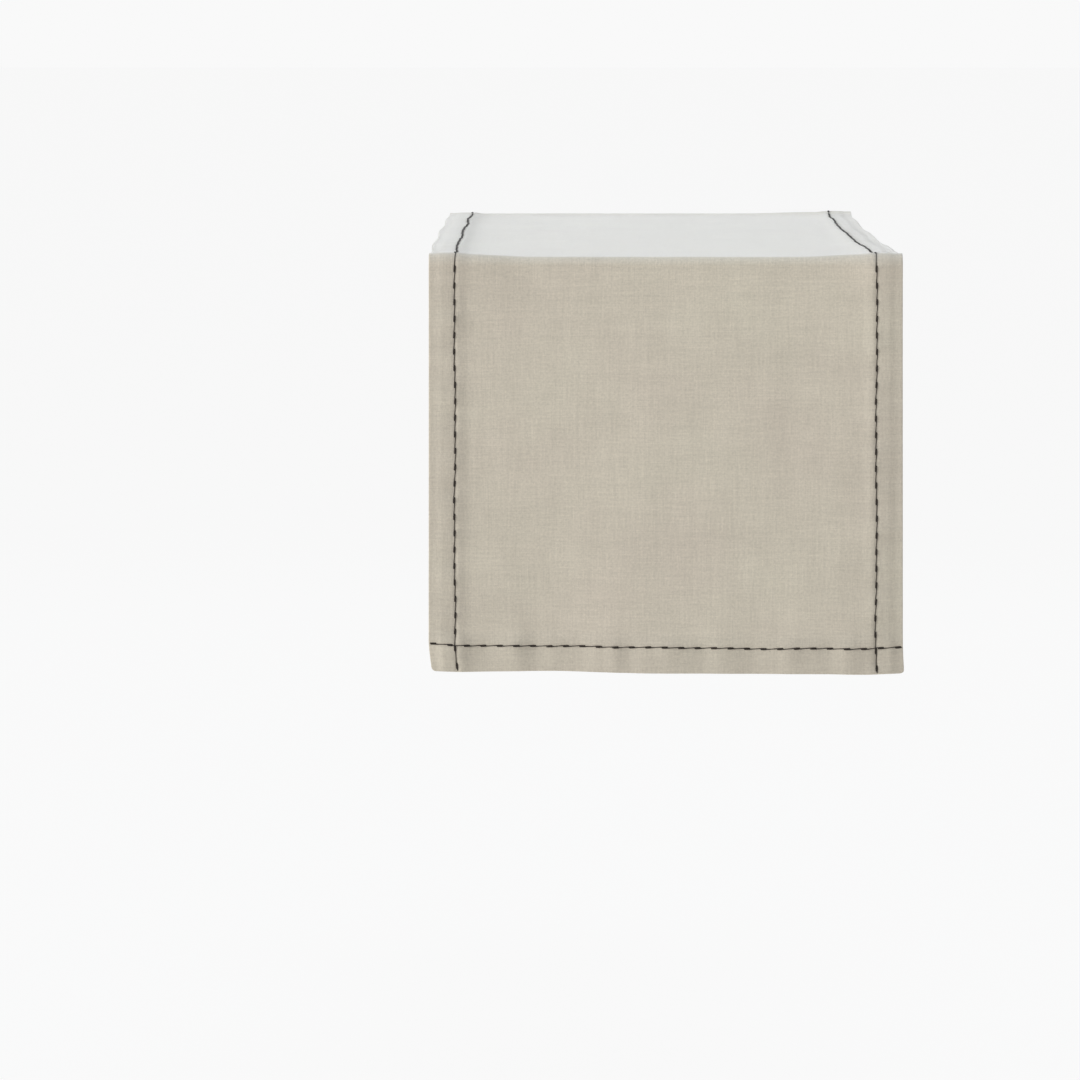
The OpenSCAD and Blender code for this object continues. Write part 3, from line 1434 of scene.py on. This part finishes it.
@dataclass(frozen=True)
class LinenFinish:
    """Undyed plain-weave linen, with slubs, soft patches of warmer and greener grey, and painted shade on its
    hems.
    """

    warm: tuple[int, int, int] = (201, 191, 176)
    green: tuple[int, int, int] = (200, 193, 176)
    # Painted shade: how much darker the hems are coloured, because no light comes through them
    hem_painted_shade: float = 0.060
    thread_shade: float = 0.24
    streak_shade: float = 0.085
    grain_shade: float = 0.21
    patch_shade: float = 0.035
    streak_size: tuple[float, float] = (3.4 * MM, 85 * MM)
    band_size: tuple[float, float] = (17 * MM, 300 * MM)
    patch_size: float = 120 * MM
    patch_contrast: float = 1.5
    cloud_size: float = 38 * MM
    cloud_contrast: float = 1.8
    pitch: float = 0.72 * MM
    grain: float = 2.0 * MM
    uneven: float = 0.55
    slub_relief: float = 1.2
    weave_depth: float = 0.12 * MM
    relief_strength: float = 0.8
    roughness: float = 0.80
    roughness_range: float = 0.12
    specular: float = 0.25
    sheen: float = 0.75
    sheen_roughness: float = 0.42
    sheen_tint: tuple[float, ...] = (0.95, 0.97, 1.0, 1.0)

    def make(self, effects: SharedEffects) -> bpy.types.Material:
        """Build the material.

        Args:
            effects: The shared node groups.

        Returns:
            The linen.
        """
        material, w, shader = new_finish("natural_linen")
        place = w.node("ShaderNodeAttribute", attribute_name=PLACE).outputs["Vector"]
        weave = w.group(effects.plain_weave, place=place, pitch=self.pitch, uneven=self.uneven).outputs
        streaks, bands = (
            w.group(effects.slub_streaks, place=place, width=width, length=length).outputs["Tone"]
            for width, length in (self.streak_size, self.band_size)
        )
        mottles = ((self.patch_size, self.patch_contrast), (self.cloud_size, self.cloud_contrast))
        patches, clouds = (
            w.group(effects.soft_mottle, place=place, patch=size, contrast=contrast).outputs["Tone"]
            for size, contrast in mottles
        )
        layers = w.node("ShaderNodeAttribute", attribute_name=PAINTED_SHADE_MASK).outputs["Fac"]
        grain = w.noise(place, 1 / self.grain, 4.0)
        base = w.colour(patches, shade(*self.warm), shade(*self.green))
        tones = [(streaks, self.streak_shade), (bands, self.streak_shade)]
        tones += [(weave["Tone"], self.thread_shade), (grain, self.grain_shade)]
        tones += [(patches, self.patch_shade), (clouds, self.patch_shade)]
        # Painted shade: the hems are coloured darker where no light comes through their layers
        total = w.math("MULTIPLY_ADD", layers, -self.hem_painted_shade, 1.0)
        for tone, strength in tones:
            total = w.times(total, w.math("MULTIPLY_ADD", tone, 2 * strength, 1 - strength))
        w.feed(shader.inputs["Base Color"], w.colour(1.0, base, w.point(total, total, total), "MULTIPLY"))
        rough = w.math("MULTIPLY_ADD", weave["Tone"], self.roughness_range, self.roughness)
        w.feed(shader.inputs["Roughness"], rough)
        relief = w.math("MULTIPLY_ADD", streaks, self.slub_relief, weave["Height"])
        w.bump(shader, relief, self.weave_depth, self.relief_strength)
        shader.inputs["Specular IOR Level"].default_value = self.specular
        shader.inputs["Sheen Weight"].default_value = self.sheen
        shader.inputs["Sheen Roughness"].default_value = self.sheen_roughness
        shader.inputs["Sheen Tint"].default_value = self.sheen_tint
        return material


@dataclass(frozen=True)
class ThreadFinish:
    """Dark brown waxed sewing thread."""

    dark: tuple[int, int, int] = (29, 23, 18)
    light: tuple[int, int, int] = (64, 53, 44)
    fibre: float = 0.36 * MM
    fade_size: float = 22 * MM
    fade_contrast: float = 2.2
    relief: float = 0.06 * MM
    specular: float = 0.3
    sheen: float = 0.05

    def make(self, effects: SharedEffects) -> bpy.types.Material:
        """Build the material.

        Args:
            effects: The shared node groups.

        Returns:
            The thread.
        """
        material, w, shader = new_finish("dark_thread")
        place = w.node("ShaderNodeTexCoord").outputs["Object"]
        fibres = w.noise(place, 1 / self.fibre, 3.0)
        faded = w.group(effects.soft_mottle, place=place, patch=self.fade_size, contrast=self.fade_contrast)
        tone = w.times(fibres, w.math("MULTIPLY_ADD", faded.outputs["Tone"], 0.8, 0.3))
        w.feed(shader.inputs["Base Color"], w.colour(tone, shade(*self.dark), shade(*self.light)))
        w.feed(shader.inputs["Roughness"], w.math("MULTIPLY_ADD", fibres, 0.3, 0.5))
        w.bump(shader, fibres, self.relief)
        shader.inputs["Specular IOR Level"].default_value = self.specular
        shader.inputs["Sheen Weight"].default_value = self.sheen
        return material


@dataclass(frozen=True)
class LabelTapeFinish:
    """Blank woven cotton tape, as care labels are made of."""

    light: tuple[int, int, int] = (240, 238, 231)
    dark: tuple[int, int, int] = (222, 218, 208)
    pitch: float = 0.32 * MM
    relief: float = 0.05 * MM

    def make(self, effects: SharedEffects) -> bpy.types.Material:
        """Build the material.

        Args:
            effects: The shared node groups.

        Returns:
            The tape.
        """
        material, w, shader = new_finish("woven_label_tape")
        place = w.node("ShaderNodeAttribute", attribute_name=PLACE).outputs["Vector"]
        weave = w.group(effects.plain_weave, place=place, pitch=self.pitch, uneven=0.2).outputs
        w.feed(shader.inputs["Base Color"], w.colour(weave["Tone"], shade(*self.dark), shade(*self.light)))
        w.feed(shader.inputs["Roughness"], w.math("MULTIPLY_ADD", weave["Height"], 0.2, 0.5))
        w.bump(shader, weave["Height"], self.relief)
        return material


@dataclass(frozen=True)
class Finishes:
    """The materials that the runner's pieces share."""

    linen: bpy.types.Material
    thread: bpy.types.Material
    label_tape: bpy.types.Material

    @classmethod
    def made(cls) -> "Finishes":
        """Build each material once, from one set of shared effects."""
        effects = SharedEffects()
        return cls(LinenFinish().make(effects), ThreadFinish().make(effects), LabelTapeFinish().make(effects))


@dataclass(frozen=True)
class FloorFinish:
    """Pale, even studio floor, which gives off most of its own light so that shadows stay faint."""

    grey: tuple[float, ...] = (0.028, 0.028, 0.028, 1.0)
    pale_grey: tuple[float, ...] = (0.032, 0.032, 0.032, 1.0)
    glow: float = 0.925

    def make(self) -> bpy.types.Material:
        """Build the material.

        Returns:
            The floor's finish.
        """
        material, w, shader = new_finish("pale_floor")
        grain = w.noise(w.node("ShaderNodeTexCoord").outputs["Object"], 3.0)
        w.feed(shader.inputs["Base Color"], w.colour(grain, self.grey, self.pale_grey))
        shader.inputs["Roughness"].default_value = 0.9
        shader.inputs["Specular IOR Level"].default_value = 0.0
        shader.inputs["Emission Color"].default_value = (1.0, 1.0, 1.0, 1.0)
        shader.inputs["Emission Strength"].default_value = self.glow
        return material


# --------------------------------------------------------------------------- studio


@dataclass(frozen=True)
class Softbox:
    """A large soft lamp, which faces the middle of the runner and isn't seen itself."""

    name: str
    place: tuple[float, float, float]
    size: tuple[float, float]
    power: float
    tint: tuple[float, float, float] = (1.0, 1.0, 1.0)

    def build(self) -> None:
        """Hang the lamp."""
        lamp = bpy.data.lights.new(self.name, "AREA")
        lamp.shape = "RECTANGLE"
        lamp.size, lamp.size_y = self.size
        lamp.energy = self.power
        lamp.color = self.tint
        hung = bpy.data.objects.new(self.name, lamp)
        bpy.context.scene.collection.objects.link(hung)
        hung.location = self.place
        hung.rotation_euler = (-hung.location).to_track_quat("-Z", "Y").to_euler()
        hung.visible_camera = False


@dataclass(frozen=True)
class Studio:
    """The camera, the lights and the floor."""

    softboxes: tuple[Softbox, ...] = (
        Softbox("overhead_softbox", (0.4, -0.3, 3.2), (2.4, 1.6), 57.0, (0.735, 0.865, 1.0)),
        Softbox("side_softbox", (-7.2, -2.7, 1.6), (3.0, 3.0), 570.0),
        Softbox("rear_softbox", (0.3, 3.6, 1.3), (3.0, 1.2), 27.0, (0.88, 0.94, 1.0)),
    )
    backdrop: float = 0.947
    room: float = 0.32
    table_height: float = 0.75
    floor_reach: float = 60.0
    lens: float = 170.6
    camera_place: tuple[float, float, float] = (-0.0835, -4.72, 0.225)
    camera_aim: tuple[float, float, float] = (-0.106, -0.40, -0.2396)

    def build(self) -> None:
        """Set up everything around the runner."""
        self.aim_camera()
        self.light()
        self.lay_floor()

    def aim_camera(self) -> None:
        """Put the camera in front of the table, a little above its top."""
        data = bpy.data.cameras.new("studio_camera")
        data.lens = self.lens
        data.sensor_width = 36.0
        data.clip_end = 200.0
        camera = bpy.data.objects.new("studio_camera", data)
        bpy.context.scene.collection.objects.link(camera)
        camera.location = self.camera_place
        aim = Vector(self.camera_aim) - camera.location
        camera.rotation_euler = aim.to_track_quat("-Z", "Y").to_euler()
        bpy.context.scene.camera = camera

    def light(self) -> None:
        """Light the runner with a bright even room and the softboxes."""
        world = bpy.data.worlds.new("studio_world")
        world.use_nodes = True
        w = Wiring(world.node_tree)
        seen = w.node("ShaderNodeLightPath").outputs["Is Camera Ray"]
        sky = world.node_tree.nodes["Background"]
        sky.inputs["Color"].default_value = (1.0, 1.0, 1.0, 1.0)
        w.feed(sky.inputs["Strength"], w.blend(seen, self.room, self.backdrop))
        bpy.context.scene.world = world
        bpy.context.scene.view_settings.view_transform = "Standard"
        for softbox in self.softboxes:
            softbox.build()

    def lay_floor(self) -> None:
        """Lay a wide pale floor under the runner."""
        reach = self.floor_reach
        corners = [(-reach, -reach), (reach, -reach), (reach, reach), (-reach, reach)]
        points = np.array([(x, y, -self.table_height) for x, y in corners])
        floor = mesh_object("studio_floor", points, np.array([[0, 1, 2, 3]]))
        floor.data.materials.append(FloorFinish().make())


# --------------------------------------------------------------------------- putting it together


def report(piece: bpy.types.Object) -> None:
    """Log a piece's name and how many faces it has."""
    log.info("%s: %d faces", piece.name, len(piece.data.polygons))


def build_half(sizes: RunnerSizes, end: End, finishes: Finishes) -> None:
    """Build one half of the runner with its stitching, and the label on the back half.

    Args:
        sizes: Sizes of the runner.
        end: Which half.
        finishes: The materials of the runner.
    """
    drape = Drape(sizes, end)
    rows = [SideRow(sizes, drape, end, side=side) for side in Side] + [EndRow(sizes, drape, end)]
    sewn = []
    for row in rows:
        piece = row.build()
        row.dress(piece, finishes.thread)
        sewn.append(piece)
    if end is End.BACK:
        label = CareLabel()
        piece = label.build()
        label.dress(piece, finishes.label_tape)
        sewn.append(piece)
    half = ClothHalf(sizes, drape, end)
    cloth = half.build()
    half.dress(cloth, finishes.linen, sewn)
    for piece in [cloth, *sewn]:
        report(piece)


def main() -> None:
    """Build the runner and its studio, and log how many faces each piece has."""
    logging.basicConfig(level=logging.INFO, format="%(name)s: %(message)s")
    sizes = RunnerSizes.from_frame()
    finishes = Finishes.made()
    for end in End:
        build_half(sizes, end, finishes)
    Studio().build()


if __name__ == "__main__":
    main()
